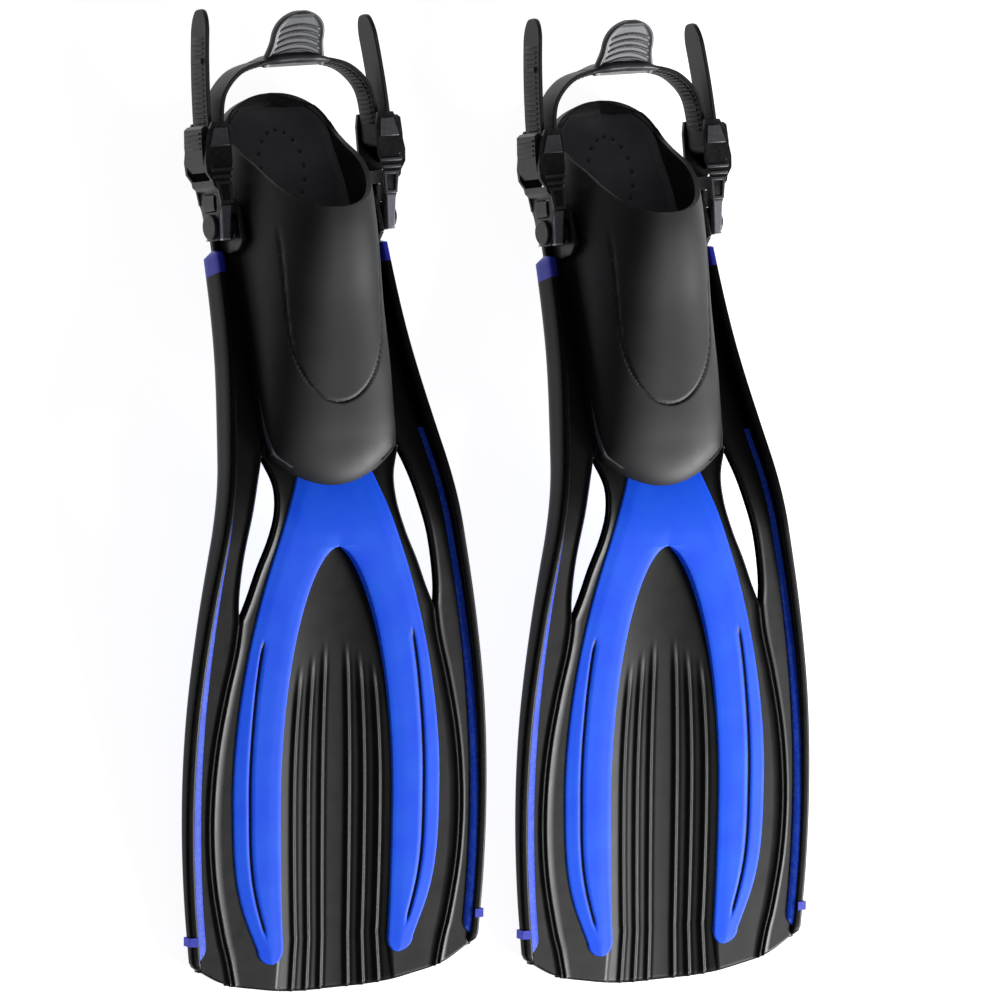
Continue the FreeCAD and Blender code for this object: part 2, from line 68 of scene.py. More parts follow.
BLADE_FRAME = Matrix.Translation((0, TIP_SHIFT, TIP_DROP)) @ turn_x(BLADE_PITCH)
FOOT_FRAME = BLADE_FRAME @ Matrix.Translation((0, TOE_ALONG, TOE_ABOVE)) @ turn_x(-BEND)
PIVOT = FOOT_FRAME @ Vector((0, POST_ALONG, POST_ABOVE))
STRAP_FRAME = Matrix.Translation(PIVOT)

FINS = {}
for joint in frame["joints"]:
    if joint["name"].endswith("_strap_swivel"):
        word = joint["name"].split("_")[0]
        FINS[word] = Vector(joint["pos_m"]) - PIVOT * MM


# -------------------- small mathematics

def smooth_through(points):
    """A function of the second coordinate that passes smoothly through (x, y) points."""
    xs = np.array([p[0] for p in points], float)
    ys = np.array([p[1] for p in points], float)
    slopes = np.gradient(xs, ys)

    def value(y):
        y = min(max(y, ys[0]), ys[-1])
        k = int(min(max(np.searchsorted(ys, y) - 1, 0), len(ys) - 2))
        gap = ys[k + 1] - ys[k]
        t = (y - ys[k]) / gap
        rest = 1 - t
        near = (1 + 2 * t) * rest * rest * xs[k] + t * rest * rest * gap * slopes[k]
        far = t * t * (3 - 2 * t) * xs[k + 1] - t * t * rest * gap * slopes[k + 1]
        return near + far

    return value


def ease(value, low, high):
    t = min(max((value - low) / (high - low), 0.0), 1.0)
    return t * t * (3 - 2 * t)


def steps(first, last, count):
    return [first + (last - first) * k / count for k in range(count + 1)]


def on_blade(run, height):
    """Side view of the bent blade: (along, above) at a run and a height over its top surface."""
    turned = min(max((run - BEND_START) / BEND_RADIUS, 0.0), BEND)
    straight = max(run - BEND_START - BEND_RADIUS * BEND, 0.0)
    if run <= BEND_START:
        return run, height
    along = BEND_START + (BEND_RADIUS + height) * math.sin(turned) + straight * math.cos(BEND)
    above = -BEND_RADIUS + (BEND_RADIUS + height) * math.cos(turned) - straight * math.sin(BEND)
    return along, above


def run_of(y):
    """Run along the blade's top surface below a distance along the flat blade."""
    end = BEND_START + BEND_RADIUS * math.sin(BEND)
    if y <= BEND_START:
        return y
    if y <= end:
        return BEND_START + BEND_RADIUS * math.asin((y - BEND_START) / BEND_RADIUS)
    return BEND_START + BEND_RADIUS * BEND + (y - end) / math.cos(BEND)


def blade_point(x, y, height):
    along, above = on_blade(run_of(y), height)
    return (x, along, above)


# -------------------- mesh helpers

def make_mesh(name, points, faces, to_row, groups=None, sharp=38):
    """A mesh in metres in the row frame, for a fin whose middle is at X = 0."""
    mesh = bpy.data.meshes.new(name)
    mesh.from_pydata([to_row @ Vector(p) * MM for p in points], [], faces)
    if groups:
        mesh.polygons.foreach_set("material_index", groups)
    work = bmesh.new()
    work.from_mesh(mesh)
    bmesh.ops.remove_doubles(work, verts=work.verts, dist=1e-6)
    bmesh.ops.recalc_face_normals(work, faces=work.faces)
    is_sheet = any(edge.is_boundary for edge in work.edges)
    if is_sheet and sum(face.normal.z * face.calc_area() for face in work.faces) < 0:
        bmesh.ops.reverse_faces(work, faces=work.faces)
    work.to_mesh(mesh)
    work.free()
    finish_shading(mesh, sharp)
    return mesh


def finish_shading(mesh, sharp):
    mesh.polygons.foreach_set("use_smooth", [True] * len(mesh.polygons))
    mesh.set_sharp_from_angle(angle=math.radians(sharp))
    mesh.update()


def grid(rows, columns, start=0, keep=None, reverse=False):
    """Quads of a rows x columns grid of points numbered row by row."""
    faces = []
    for r in range(rows - 1):
        for c in range(columns - 1):
            if keep and not keep(r, c):
                continue
            a = start + r * columns + c
            quad = [a, a + 1, a + columns + 1, a + columns]
            faces.append(quad[::-1] if reverse else quad)
    return faces


def closed_grid(rows, columns, open_from=None):
    """Two grids of points, the lower one after the upper one, joined along their sides.

    The first column's side can stay open from a row on, where a mirror image joins it.
    """
    count = rows * columns
    faces = grid(rows, columns) + grid(rows, columns, start=count, reverse=True)
    for r in range(rows - 1):
        a = r * columns
        b = a + columns
        if open_from is None or r < open_from:
            faces.append([a, b, b + count, a + count])
        a += columns - 1
        b += columns - 1
        faces.append([a, a + count, b + count, b])
    last = (rows - 1) * columns
    for c in range(columns - 1):
        faces.append([c, c + count, c + 1 + count, c + 1])
        faces.append([last + c, last + c + 1, last + c + 1 + count, last + c + count])
    return faces


def mirrored(points, faces):
    """The piece and its mirror image in X = 0; make_mesh welds them where they meet."""
    count = len(points)
    both = points + [(-x, y, z) for x, y, z in points]
    return both, faces + [[count + v for v in face[::-1]] for face in faces]


def tube(stations):
    """Closed surface through equal rings of points, capped at both ends."""
    around = len(stations[0])
    points = [p for ring in stations for p in ring]
    faces = []
    for r in range(len(stations) - 1):
        for c in range(around):
            d = (c + 1) % around
            faces.append([r * around + c, r * around + d, (r + 1) * around + d, (r + 1) * around + c])
    faces.append(list(range(around))[::-1])
    last = (len(stations) - 1) * around
    faces.append([last + c for c in range(around)])
    return points, faces


def soft_box_ring(half_x, half_z, power, count):
    """Points of a rounded rectangle about the origin."""
    ring = []
    for k in range(count):
        angle = 2 * math.pi * (k + 0.5) / count
        c, s = math.cos(angle), math.sin(angle)
        reach = (abs(c) ** power + abs(s) ** power) ** (-1 / power)
        ring.append((half_x * reach * c, half_z * reach * s))
    return ring


def place(mesh, part, materials, nodes, body="fin", bevel=0.0, shell=0.0, bevel_angle=40):
    """Puts the same piece on both fins; it rides on that fin's body and replaces its CAD nodes."""
    for material in materials:
        mesh.materials.append(material)
    for word, spot in FINS.items():
        piece = bpy.data.objects.new(f"{word}_{part}_look", mesh)
        bpy.context.scene.collection.objects.link(piece)
        piece.location = spot
        if shell:
            thick = piece.modifiers.new("shell", "SOLIDIFY")
            thick.thickness = shell * MM
            thick.offset = -1
            thick.use_even_offset = True
        if bevel:
            soft = piece.modifiers.new("edges", "BEVEL")
            soft.width = bevel * MM
            soft.segments = 2
            soft.limit_method = "ANGLE"
            soft.angle_limit = math.radians(bevel_angle)
        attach(piece, f"{word}_{body}")
        names = [f"{word}_{node}" for node in nodes]
        if names:
            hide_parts(*names)


# -------------------- outlines on the flat blade

# each is the distance from the fin's middle line at a distance from the tip; groove_share is a share
# of the stripe's width, and tip_line gives the tip's own curve from the middle outwards
rail_outer = smooth_through([
    (110.5, 14), (113.6, 50), (115.4, 105), (112.5, 168), (104, 230),
    (92, 290), (79.5, 348), (70, 405), (66, 461), (65.4, 477),
])
stripe_outer = smooth_through([
    (60, 14), (72, 43), (79.5, 110), (73, 187), (59.5, 244), (40.5, 297), (27, 330), (23, 342),
])
groove_share = smooth_through([
    (0.56, 4), (0.58, 27), (0.64, 60), (0.655, 120), (0.67, 160), (0.73, 219), (0.74, 342),
])
ridge_line = smooth_through([
    (79, -12), (82.5, 8), (88, 32), (93, 59), (95.5, 90),
    (95, 119), (91.5, 151), (85, 183), (76.5, 218), (74.5, 233),
])
window_outer = smooth_through([
    (74.9, 233), (75.2, 244), (73.6, 262), (70, 282), (64, 303), (57.5, 324), (52.4, 338),
])
window_inner = smooth_through([
    (74.1, 233), (69, 244), (61, 264), (51.5, 285), (46, 303), (45.5, 321), (51.6, 338),
])
under_foot = smooth_through([(52, 338), (46, 360), (42, 420), (34, 500)])
plate_edge = smooth_through([(58.8, 477), (57, 486), (50, 495), (38, 499.5)])
tip_line = smooth_through([(-16, 0), (-15.6, 26), (-11.5, 58), (-4, 88), (4, 102)])

STRIPE_TIP = 4.5                 # where the stripes end, towards the tip
STRIPE_SHOULDER = 14.0           # where their round ends begin
TIP_BLEND = 20.0                 # rows of the mesh follow the tip's curve up to here
CHANNEL_WIDEST = 110.0
ARCH_START = 250.0               # rows lie closer together from here to the apex
APEX = 277.0                     # top of the channel's arch
WINDOW_SPAN = (233.0, 338.0)
YOKE_END = 342.0
BLADE_END = 352.0
RAIL_END = 477.0
PLATE_REAR = 499.5
CHANNEL_HALF = 42.5
CHANNEL_HALF_AT_SHOULDER = 40.0
CHANNEL_HALF_AT_TIP = 43.0


def channel_half(y):
    """Half width of the channel between the stripes."""
    if y >= APEX:
        return 0.0
    if y >= CHANNEL_WIDEST:
        share = (y - CHANNEL_WIDEST) / (APEX - CHANNEL_WIDEST)
        return CHANNEL_HALF * (1 - share * share) ** 0.568
    if y >= STRIPE_SHOULDER:
        share = (CHANNEL_WIDEST - y) / (CHANNEL_WIDEST - STRIPE_SHOULDER)
        return CHANNEL_HALF - (CHANNEL_HALF - CHANNEL_HALF_AT_SHOULDER) * share ** 2
    share = (STRIPE_SHOULDER - y) / (2 * STRIPE_SHOULDER)
    return CHANNEL_HALF_AT_SHOULDER + (CHANNEL_HALF_AT_TIP - CHANNEL_HALF_AT_SHOULDER) * share


def rail_inner(y):
    return rail_outer(y) - RAIL_WIDTH if y < RAIL_END else plate_edge(y)


# -------------------- blade pieces

def edge_dip(distance, radius, depth):
    """How far a rounded edge falls below the surface at a distance from the rim."""
    t = min(distance / radius, 1.0)
    return depth * (1 - math.sqrt(max(1 - (1 - t) ** 2, 0.0)))


PANEL_PROUD = 0.9                # height of the blue panel's rim over the plate
PANEL_BULGE = 0.45               # and how much higher its middle lies
PANEL_RIM = 1.3                  # radius of its rounded rim
RIM_COLUMNS = (0.0, 0.25, 0.7, PANEL_RIM)
STRIPE_END_MIDDLE, STRIPE_END_INNER, STRIPE_END_OUTER = 48.0, 8.0, 12.0
GROOVE_COLUMNS = (-1.7, -1.05, -0.45, 0.45, 1.05, 1.7)
GROOVE_DEPTHS = (0.0, 0.35, 1.1, 1.1, 0.35, 0.0)
GROOVE_START, GROOVE_END = (22.0, 30.0), (212.0, 220.0)


def wishbone_rows():
    """Distances from the tip, closer together at the stripes' round ends and round the apex."""
    end_length = STRIPE_SHOULDER - STRIPE_TIP
    rows = [STRIPE_TIP + end_length * (1 - math.cos(a)) for a in steps(0.0, math.pi / 2, 10)]
    rows += steps(STRIPE_SHOULDER, ARCH_START, 90)[1:]
    rows += [ARCH_START + (APEX - ARCH_START) * math.sin(a) for a in steps(0.0, math.pi / 2, 22)][1:]
    apex_row = len(rows) - 1
    rows += [APEX + d for d in (0.3, 0.8, 1.5, 2.6)] + steps(APEX + 3.8, YOKE_END, 22)[1:]
    return rows, apex_row


def stripe_sides(y):
    """Nearer and further side of the stripe; its end towards the tip is round."""
    if y >= STRIPE_SHOULDER:
        return channel_half(y), stripe_outer(y)
    share = (STRIPE_SHOULDER - y) / (STRIPE_SHOULDER - STRIPE_TIP)
    swell = math.sqrt(max(1 - share ** 2, 0.0))
    return STRIPE_END_MIDDLE - STRIPE_END_INNER * swell, STRIPE_END_MIDDLE + STRIPE_END_OUTER * swell


def wishbone():
    """Blue panel: a yoke and two stripes with a rounded rim, each with a long narrow groove whose deep part
    is painted a darker blue as shade.
    """
    rows, apex_row = wishbone_rows()
    points, groove_shade_rows = [], []
    for y in rows:
        left, right = stripe_sides(y)
        width = right - left
        shrink = min(1.0, width / 12)
        groove = left + width * groove_share(y)
        spread = min(1.0, width / 26) * ease(y, 8, 22)
        cut = [groove + d * spread for d in GROOVE_COLUMNS]
        across = [left + d * shrink for d in RIM_COLUMNS]
        across += steps(across[-1], cut[0], 7)[1:-1]
        first_cut = len(across)
        across += cut + steps(cut[-1], right - PANEL_RIM * shrink, 5)[1:-1]
        across += [right - d * shrink for d in RIM_COLUMNS[::-1]]
        depth = ease(y, *GROOVE_START) * (1 - ease(y, *GROOVE_END))
        row = []
        for k, x in enumerate(across):
            inner_gap = x - left if y <= APEX else math.hypot(x, y - APEX)
            gap = min(inner_gap, right - x)
            height = PANEL_PROUD + PANEL_BULGE * ease(gap, 0.0, 11.0) - edge_dip(gap, PANEL_RIM, PANEL_RIM)
            if 0 <= k - first_cut < len(GROOVE_DEPTHS):
                height -= GROOVE_DEPTHS[k - first_cut] * depth
            row.append((x, y, height))
        points.append(row)
        groove_shade_rows.append(depth > 0.5)
    columns = len(points[0])
    top = [blade_point(*p) for row in points for p in row]
    bottom = [blade_point(x, y, -PLATE - 0.5) for row in points for x, y, _ in row]
    faces = closed_grid(len(rows), columns, open_from=apex_row)
    groups = []
    # faces in the deep middle of each groove take the second, darker blue: painted shade in the groove
    for r in range(len(rows) - 1):
        for c in range(columns - 1):
            groups.append(1 if groove_shade_rows[r] and first_cut + 1 <= c <= first_cut + 3 else 0)
    groups += [0] * (len(faces) - len(groups))
    both, all_faces = mirrored(top + bottom, faces)
    return make_mesh("wishbone_panel", both, all_faces, BLADE_FRAME, groups + groups, sharp=50)


RIDGE_HEIGHT, RIDGE_FLANK = 1.25, 0.5
LIP_COLUMNS = (0.8, 1.5, 2.2, 3.0)   # distances of the ridge's columns from a window's side
RIDGE_FIRST = 9                      # column at the outer foot of the first ridge
RIDGE_HEIGHTS = (0.0, RIDGE_FLANK, RIDGE_HEIGHT, RIDGE_FLANK, 0.0, 0.0, 0.0,
                 RIDGE_FLANK, RIDGE_HEIGHT, RIDGE_FLANK, 0.0)


def plate_columns(y):
    """Places across the margin: the channel's edge, the double ridge round the window, the rail."""
    if WINDOW_SPAN[0] <= y <= WINDOW_SPAN[1]:
        low, high = window_inner(y), window_outer(y)
    else:
        middle = ridge_line(y) if y < WINDOW_SPAN[0] else under_foot(y)
        low, high = middle - 0.4, middle + 0.4
    start = channel_half(y) + 1.2 * ease(y, 12, 22) * (1 - ease(y, APEX - 6, APEX))
    end = rail_inner(y) + 0.8
    ridges = [low - d for d in LIP_COLUMNS[::-1]] + [low, (low + high) / 2, high]
    ridges += [high + d for d in LIP_COLUMNS]
    return steps(start, ridges[0], RIDGE_FIRST)[:-1] + ridges + steps(ridges[-1], end, 7)[1:]


def plate():
    """Hard black plate: the tip, the margins with double ridges, the windows and the part under the foot."""
    window_start, window_end = WINDOW_SPAN
    straight = steps(TIP_BLEND, window_start, 80)[1:]
    half_span = (window_end - window_start) / 2
    straight += [window_start + half_span * (1 - math.cos(a)) for a in steps(0.0, math.pi, 56)][1:]
    straight += steps(window_end, BLADE_END, 5)[1:] + steps(BLADE_END, PLATE_REAR, 34)[1:]
    rows = []
    for share in steps(0.0, 1.0, 14):
        across = plate_columns(-14.0 + (14.0 + TIP_BLEND) * share)
        rows.append([(x, tip_line(x) + share * (TIP_BLEND - tip_line(x))) for x in across])
    rows += [[(x, y) for x in plate_columns(y)] for y in straight]

    def height_at(column, y):
        in_ridges = 0 <= column - RIDGE_FIRST < len(RIDGE_HEIGHTS)
        fade = 1.0 if y < window_end else 1 - ease(y, window_end, BLADE_END)
        return RIDGE_HEIGHTS[column - RIDGE_FIRST] * fade if in_ridges else 0.0

    def is_solid(row, column):
        in_window = column - RIDGE_FIRST in (len(LIP_COLUMNS), len(LIP_COLUMNS) + 1)
        return not (in_window and window_start - 0.01 <= rows[row][column][1] < window_end - 0.01)

    points = [blade_point(x, y, height_at(c, y)) for row in rows for c, (x, y) in enumerate(row)]
    both, faces = mirrored(points, grid(len(rows), len(rows[0]), keep=is_solid))
    return make_mesh("blade_plate", both, faces, BLADE_FRAME)


RIBS = (-0.76, -0.5, -0.24, 0.24, 0.5, 0.76)   # places of the channel's ribs as shares of its half width
RIB_HEIGHT, RIB_WIDTH = 1.5, 1.6
RIB_HOLLOW, RIB_HOLLOW_PLACE, RIB_HOLLOW_WIDTH = 0.5, 2.8, 1.1
CHANNEL_SAG = 3.5
ARCH_SAG = 1.6                   # the trough is this much deeper below the arch


def trough(share, half, y):
    """Place across and height of the channel's floor, at a share of its half width."""
    x = share * (half + 0.7)
    height = -CHANNEL_SAG * (1 - min(abs(x) / CHANNEL_HALF_AT_TIP, 1.0) ** 2) - ARCH_SAG * ease(y, 190, APEX)
    for rib in RIBS:
        end = 222 - 26 * abs(rib)
        strength = 1 - ease(y, end - 34, end)
        gap = (share - rib) * half
        height += strength * RIB_HEIGHT * math.exp(-(gap / RIB_WIDTH) ** 2)
        height -= strength * RIB_HOLLOW * math.exp(-((gap - RIB_HOLLOW_PLACE) / RIB_HOLLOW_WIDTH) ** 2)
    return x, height


def channel():
    """Shallow trough that deepens from its edges, with long ribs that die out towards the arch."""
    tip_rows = steps(0.0, 1.0, 12)
    straight = steps(TIP_BLEND, ARCH_START, 84)[1:]
    arch_length = APEX - 0.2 - ARCH_START
    straight += [ARCH_START + arch_length * math.sin(a) for a in steps(0.0, math.pi / 2, 14)][1:]
    across = steps(-1.0, 1.0, 96)
    points = []
    for row_share in tip_rows:
        half = CHANNEL_HALF_AT_SHOULDER + (CHANNEL_HALF_AT_TIP - CHANNEL_HALF_AT_SHOULDER) * (1 - row_share)
        for share in across:
            x, height = trough(share, half, 10)
            y = tip_line(abs(x)) + row_share * (TIP_BLEND - tip_line(abs(x)))
            points.append(blade_point(x, y, height))
    for y in straight:
        for share in across:
            x, height = trough(share, channel_half(y), y)
            points.append(blade_point(x, y, height))
    faces = grid(len(tip_rows) + len(straight), len(across))
    return make_mesh("channel_panel", points, faces, BLADE_FRAME, sharp=60)


rail_top = smooth_through([(2.2, 4), (2.8, 110), (5.5, 230), (8, 300), (9.5, 350), (12, 478)])
rail_bottom = smooth_through([(-3.6, 4), (-5.2, 110), (-7, 230), (-9, 300), (-10, 350), (-8, 478)])
RAIL_RUN = (4.6, 477.6)          # both ends of the rail, measured along the bent blade
RAIL_TOE_IN = 3.4                # the rail's tip end bends in by this much
BLUE_SEGMENTS = 5                # the last segments of the rail, at the heel's end, are blue


def round_end(distance, radius, least):
    """Share of the full section at a distance from a rounded end."""
    if distance >= radius:
        return 1.0
    return math.sqrt(max(1 - (1 - distance / radius) ** 2, least))


def rail(side):
    """Deep beam along the blade's edge, rounded on its corners and at both ends."""
    stations = []
    first, last = RAIL_RUN
    for run in steps(first, last, 150):
        y, _ = on_blade(run, 0)
        outer = rail_outer(max(y, STRIPE_SHOULDER))
        if y < STRIPE_SHOULDER:
            outer -= RAIL_TOE_IN * ((STRIPE_SHOULDER - y) / 9.4) ** 2
        end = min(round_end(run - first, 6.0, 0.02), round_end(last - run, 3.0, 0.05))
        high, low = rail_top(run), rail_bottom(run)
        middle = (high + low) / 2
        centre = outer - RAIL_WIDTH / 2
        ring = []
        for dx, dz in soft_box_ring(RAIL_WIDTH / 2 + 0.1, (high - low) / 2, 4.5, 28):
            along, above = on_blade(run, middle + dz * end)
            ring.append((side * (centre + dx * end), along, above))
        stations.append(ring)
    points, faces = tube(stations)
    blue = BLUE_SEGMENTS * len(stations[0])
    end_caps = [0, 1]
    groups = [0] * (len(faces) - len(end_caps) - blue) + [1] * blue + end_caps
    return make_mesh("rail", points, faces, BLADE_FRAME, groups, sharp=60)


INLAY_START, INLAY_END = 12.0, 349.0
INLAY_WIDTH_AT_TIP, INLAY_WIDTH_AT_TOES = 6.1, 3.7


def inlay(side):
    """Blue strip that lies along the foot of the rail, from the pocket to just short of the tip."""
    stations = []
    for y in steps(INLAY_START, INLAY_END, 120):
        run = run_of(y)
        wall = rail_outer(max(y, STRIPE_SHOULDER)) - RAIL_WIDTH + 0.5
        width = INLAY_WIDTH_AT_TIP - (INLAY_WIDTH_AT_TIP - INLAY_WIDTH_AT_TOES) * ease(y, 150, INLAY_END)
        taper = ease(y, INLAY_START - 1.0, TIP_BLEND) ** 0.5
        free = wall - width * taper
        section = [
            (free, -0.8), (free, 0.35), (free + 0.5 * taper, 0.95),
            (wall - 1.2 * taper, 1.25), (wall, 1.7), (wall, -0.8),
        ]
        ring = []
        for x, height in section:
            along, above = on_blade(run, height)
            ring.append((side * x, along, above))
        stations.append(ring)
    points, faces = tube(stations)
    return make_mesh("rail_inlay", points, faces, BLADE_FRAME, sharp=50)


# -------------------- foot pocket

# half width, crown and mouth of the pocket at a distance from the toe
pocket_half = smooth_through([
    (47.0, 22), (49.5, 35), (50.5, 60), (49.8, 110), (49.5, 165), (47.5, 205), (44, 225),
])
pocket_crown = smooth_through([(9.5, 22), (14.5, 34), (23.5, 60), (40, 110), (60, 165), (66, 215), (66, 264)])
mouth_height = smooth_through([
    (66, 166), (55, 180), (43.5, 195), (31, 210), (17, 222), (5, 234), (1.8, 250), (1.0, 264),
])
MOUTH_START = 166.0
HEEL_START, HEEL_END = 225.0, 264.0
HEEL_HALF = 44.0
TOE_CURVE = 0.0088               # the toe's lip runs back by this times the distance from the middle squared
TOE_LIP_HALF = 49.0
TOE_JOINT = 30.0                 # the domed toe meets the straight part of the pocket here


def half_at(along):
    """Half width of the pocket; round at the heel."""
    if along <= HEEL_START:
        return pocket_half(along)
    share = (along - HEEL_START) / (HEEL_END - HEEL_START)
    return HEEL_HALF * math.sqrt(max(1 - share ** 2.4, 0.0))


def arch(along, angle):
    """Point of the pocket's outside on the cross-section at a distance from the toe."""
    power = 2.9 - 0.5 * ease(along, 60, 165)
    c, s = math.cos(angle), math.sin(angle)
    reach = (abs(c) ** power + abs(s) ** power) ** (-1 / power)
    rise = pocket_crown(along) - SOLE_LEVEL
    return Vector((half_at(along) * reach * c, along, SOLE_LEVEL + rise * reach * s))


def rim_of(angle):
    """Distance from the toe at which this line of the outside reaches the mouth."""
    low, high = 120.0, HEEL_END
    for _ in range(30):
        middle = (low + high) / 2
        if middle > MOUTH_START and arch(middle, angle).z > mouth_height(middle):
            high = middle
        else:
            low = middle
    return (low + high) / 2


SEAM_START, SEAM_ROUND_LENGTH, SEAM_HALF = 51.0, 52.0, 35.5
SEAM_POWER = 2.3
SEAM_DEPTH, SEAM_WIDTH = 1.15, 0.75


def seam_share(point):
    """How deep the narrow U-shaped groove on the instep is at a point, from 0 to 1."""
    x, along = abs(point.x), point.y
    if point.z < 5 or along < 45:
        return 0.0
    side = SEAM_HALF + 0.035 * (along - 100)
    share = min(max((along - SEAM_START) / SEAM_ROUND_LENGTH, 0.0), 1.0)
    half = side * (1 - (1 - share) ** SEAM_POWER) ** 0.5
    bottom = SEAM_START + SEAM_ROUND_LENGTH * (1 - (1 - min(x / side, 1.0) ** 2) ** (1 / SEAM_POWER))
    gap = math.inf
    if along > SEAM_START:
        gap = abs(x - half)
    if x < side:
        gap = min(gap, abs(along - bottom))
    fade = 1 - ease(along, 150, 172)
    return fade * math.exp(-(gap / SEAM_WIDTH) ** 2)


def toe_line(angle, rows):
    """Points from the toe's lip over its dome to the straight part of the pocket."""
    start = arch(TOE_JOINT, angle)
    lip_x = TOE_LIP_HALF * start.x / half_at(TOE_JOINT)
    toe = Vector((lip_x, TOE_CURVE * lip_x ** 2, SOLE_LEVEL + 1.5))
    ahead = arch(TOE_JOINT + 1.0, angle) - start
    gap = (start - toe).length
    up = Vector((0, 0.12, 1.0)) * min(gap, 16.0) * (0.25 + 0.75 * abs(math.sin(angle)))
    line = []
    for r in range(rows):
        t = r / rows
        rest = 1 - t
        line.append(toe * (1 + 2 * t) * rest * rest + up * t * rest * rest * 2.1
                    + start * t * t * (3 - 2 * t) - ahead * gap * t * t * rest)
    return line


def pocket_line(angle, rows):
    """Points from the end of the toe's dome to the mouth, denser towards the round heel."""
    rim = rim_of(angle)
    line = []
    for r in range(rows + 1):
        share = r / rows
        if rim > HEEL_START:
            share = 0.5 * math.sin(math.pi / 2 * share) + 0.5 * share
        line.append(arch(TOE_JOINT + (rim - TOE_JOINT) * share, angle))
    return line


def pocket_shell():
    """Outside of the shoe from the toe's lip to the slanted mouth; a shell modifier gives it its wall."""
    columns, toe_rows, rows = 176, 20, 210
    table = []
    for c in range(columns + 1):
        angle = math.pi * (0.5 - 0.5 * math.cos(math.pi * c / columns))
        table.append(toe_line(angle, toe_rows) + pocket_line(angle, rows))
    points = []
    for r in range(toe_rows + rows + 1):
        for line in table:
            point = line[r]
            inward = Vector((-point.x / 50.0, 0, -1)).normalized()
            points.append(tuple(point + inward * SEAM_DEPTH * seam_share(point)))
    faces = grid(toe_rows + rows + 1, columns + 1)
    return make_mesh("foot_pocket", points, faces, FOOT_FRAME, sharp=60)


FOOTBED_START, FOOTBED_LEVEL = 14.0, -1.2
DIMPLES = 16
DIMPLE_MIDDLE, DIMPLE_HALF_WIDTH, DIMPLE_HALF_LENGTH = 214.0, 17.0, 25.0


def footbed():
    """Insole with a raised edge and a ring of small dimples, closed below; its heel end is round."""
    rows, columns = 180, 84
    dimples = []
    for k in range(DIMPLES):
        angle = 2 * math.pi * k / DIMPLES
        dimple_along = DIMPLE_MIDDLE + DIMPLE_HALF_LENGTH * math.sin(angle)
        dimples.append((DIMPLE_HALF_WIDTH * math.cos(angle), dimple_along))
    points = []
    for t in steps(0.0, 1.0, rows):
        share = 0.5 * t + 0.5 * math.sin(math.pi / 2 * t)
        along = FOOTBED_START + (HEEL_END - 0.4 - FOOTBED_START) * share
        inside_toe = math.sqrt((along - 2.0) / TOE_CURVE) - 2.0
        half = max(min(half_at(max(along, 22)) - 0.6, inside_toe), 0.05)
        for side_share in steps(-1.0, 1.0, columns):
            x = half * side_share
            edge = half * (1 - abs(side_share))
            height = FOOTBED_LEVEL + 2.4 * (1 - ease(edge, 0.0, 9.0)) * (1 - 0.6 * ease(along, 225, 262))
            for dimple_x, dimple_along in dimples:
                height -= 1 - ease(math.hypot(x - dimple_x, along - dimple_along), 0.6, 1.9)
            height -= 1.6 * (1 - ease(HEEL_END - along, 0.0, 3.0))
            points.append((x, along, height))
    below = [(x, along, SOLE_LEVEL + 0.1) for x, along, _ in points]
    return make_mesh("footbed", points + below, closed_grid(rows + 1, columns + 1), FOOT_FRAME, sharp=50)


def copy_of(node):
    """Mesh of a CAD node of the left fin, cleaned for bevelling and moved back to the fin's own middle."""
    mesh = frame["nodes"][f"left_{node}"].data.copy()
    mesh.name = node
    mesh.materials.clear()
    work = bmesh.new()
    work.from_mesh(mesh)
    bmesh.ops.translate(work, verts=work.verts, vec=-FINS["left"])
    bmesh.ops.remove_doubles(work, verts=work.verts, dist=2e-6)
    bmesh.ops.dissolve_limit(work, angle_limit=math.radians(1.5), verts=work.verts, edges=work.edges)
    bmesh.ops.recalc_face_normals(work, faces=work.faces)
    work.to_mesh(mesh)
    work.free()
    finish_shading(mesh, 35)
    return mesh


# -------------------- strap

LOOP_HALF = [(59.45, 51), (59, 67), (55, 86), (43, 98.5), (22, 105), (0, 106.5)]
TAIL_OUTER = [(67.55, 51), (68.0, 63), (67.0, 82), (64.6, 106), (61.0, 133)]
TAIL_INNER = [(-67.55, 51), (-68.2, 63), (-67.8, 85), (-66.2, 111), (-63.0, 142)]
TURN_MIDDLE, TURN_RADIUS = (63.5, 51.0), 4.05   # the turn round the buckle's roller
STRAP_WIDTH, STRAP_THICK = 20.0, 3.0
STRAP_MARGIN = 3.2                 # smooth border beside the bars
STRAP_RIM = 0.55                   # rounding of the strap's edges
TAIL_TAPER = 16.0                  # length of the narrowed end of a tail
TOOTH_PITCH = 3.4
LOOP_BAR_HEIGHT, TAIL_BAR_HEIGHT = 0.85, 0.75
STOP_BAR = (61.5, 65.0)            # a taller bar near the tail's end, measured from the turn
STOP_BAR_HEIGHT = 1.7
STRAP_SPACING = 0.42


def distances(line):
    """Distance travelled along a line of points, at each of its points."""
    travelled = [0.0]
    for a, b in zip(line, line[1:]):
        travelled.append(travelled[-1] + (b - a).length)
    return travelled


def curve_points(knots, spacing):
    """Evenly spaced points on a smooth curve through plane points."""
    knots = [Vector(k) for k in knots]
    lengths = distances(knots)
    across = smooth_through([(k.x, s) for k, s in zip(knots, lengths)])
    along = smooth_through([(k.y, s) for k, s in zip(knots, lengths)])
    fine = [Vector((across(s), along(s))) for s in steps(0.0, lengths[-1], 600)]
    travelled = distances(fine)
    count = max(2, round(travelled[-1] / spacing))
    wanted = steps(0.0, travelled[-1], count)
    xs = np.interp(wanted, travelled, [p.x for p in fine])
    ys = np.interp(wanted, travelled, [p.y for p in fine])
    return [Vector((x, y)) for x, y in zip(xs, ys)]


def other_side(line):
    return [Vector((-p.x, p.y)) for p in line[::-1]]


